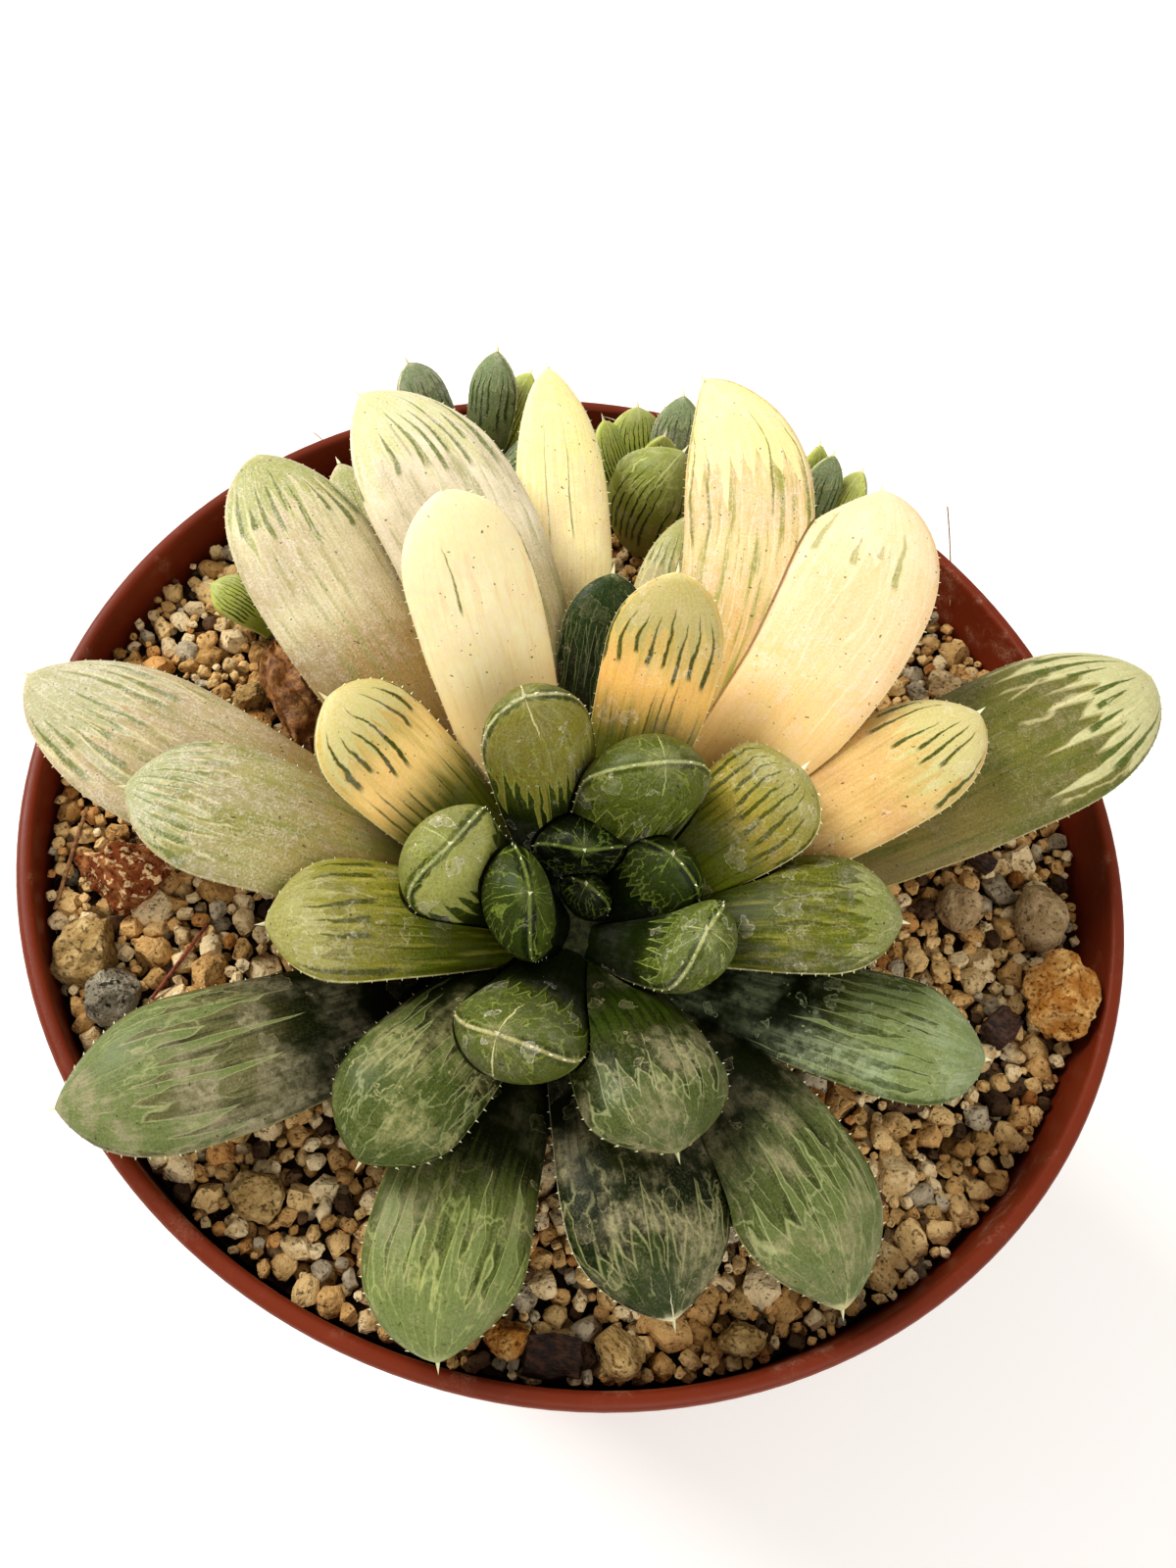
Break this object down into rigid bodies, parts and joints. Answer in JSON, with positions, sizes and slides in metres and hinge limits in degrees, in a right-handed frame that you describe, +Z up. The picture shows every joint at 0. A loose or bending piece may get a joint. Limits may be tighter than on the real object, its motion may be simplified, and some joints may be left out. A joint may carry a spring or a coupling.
{
  "type": "potted haworthia",
  "caption": "Low rosette succulent with thick blunt variegated leaves and small offsets, growing in grit in a round terracotta-coloured plastic pot with a collar rim.",
  "frame": {"origin": "middle of the pot's underside, on the surface it stands on", "axes": "+Z up along the pot's axis; +Y away from the viewer who sees the plant as in the picture, towards the offsets; +X to the viewer's right"},
  "size_m": [0.105, 0.105, 0.113],
  "materials": {
    "pot_plastic": "satin terracotta-brown moulded plastic, lightly scuffed and dusty",
    "grit": "dry matt pumice grit, beige with orange and grey grains",
    "stem": "matt brown corky stem",
    "leaf_yellow": "smooth satin leaf, pale yellow with dark green tip stripes",
    "leaf_cream": "smooth satin leaf, cream with faint green stripes",
    "leaf_pale": "smooth satin leaf, pale grey-green with pinkish bloom",
    "leaf_green": "satin translucent window tip, olive green with pale veins",
    "leaf_dark": "satin dark green leaf with pale veins and a light edge",
    "pup": "satin grey-green small leaves with dark stripes",
    "dry_leaf": "matt crinkled brown dried leaf",
    "stone_brown": "matt rough red-brown lava stone",
    "stone_tan": "matt tan pumice stone",
    "stone_grey": "matt speckled grey stone",
    "stone_orange": "matt orange-brown stone"
  },
  "bodies": {
    "root": {"pot": "pot_plastic", "soil": "grit", "crown": "stem", "leaf_01": "leaf_dark", "leaf_02": "leaf_dark", "leaf_03": "leaf_dark", "leaf_04": "leaf_green", "leaf_05": "leaf_green", "leaf_06": "leaf_green", "leaf_07": "leaf_green", "leaf_08": "leaf_green", "leaf_09": "leaf_green", "leaf_10": "leaf_green", "leaf_11": "leaf_yellow", "leaf_12": "leaf_yellow", "leaf_13": "leaf_green", "leaf_14": "leaf_green", "leaf_15": "leaf_dark", "leaf_16": "leaf_dark", "leaf_17": "leaf_yellow", "leaf_18": "leaf_yellow", "leaf_19": "leaf_yellow", "leaf_20": "leaf_cream", "leaf_21": "leaf_dark", "leaf_22": "leaf_pale", "leaf_23": "leaf_cream", "leaf_24": "leaf_dark", "leaf_25": "leaf_dark", "leaf_26": "leaf_pale", "leaf_27": "leaf_dark", "leaf_28": "leaf_pale", "leaf_29": "leaf_cream", "leaf_30": "leaf_pale", "leaf_31": "leaf_pale", "leaf_32": "leaf_dark", "leaf_33": "leaf_pale", "leaf_34": "leaf_cream", "pup_back": "pup", "pup_left": "pup", "pup_right": "pup", "pup_small": "pup", "dry_leaf": "dry_leaf", "stone_01": "stone_brown", "stone_02": "stone_tan", "stone_03": "stone_grey", "stone_04": "stone_tan", "stone_05": "stone_tan", "stone_06": "stone_orange", "stone_07": "stone_tan", "stone_08": "stone_tan", "stone_09": "stone_tan", "stone_10": "stone_orange", "stone_11": "stone_tan", "stone_12": "stone_tan"}
  },
  "joints": []
}
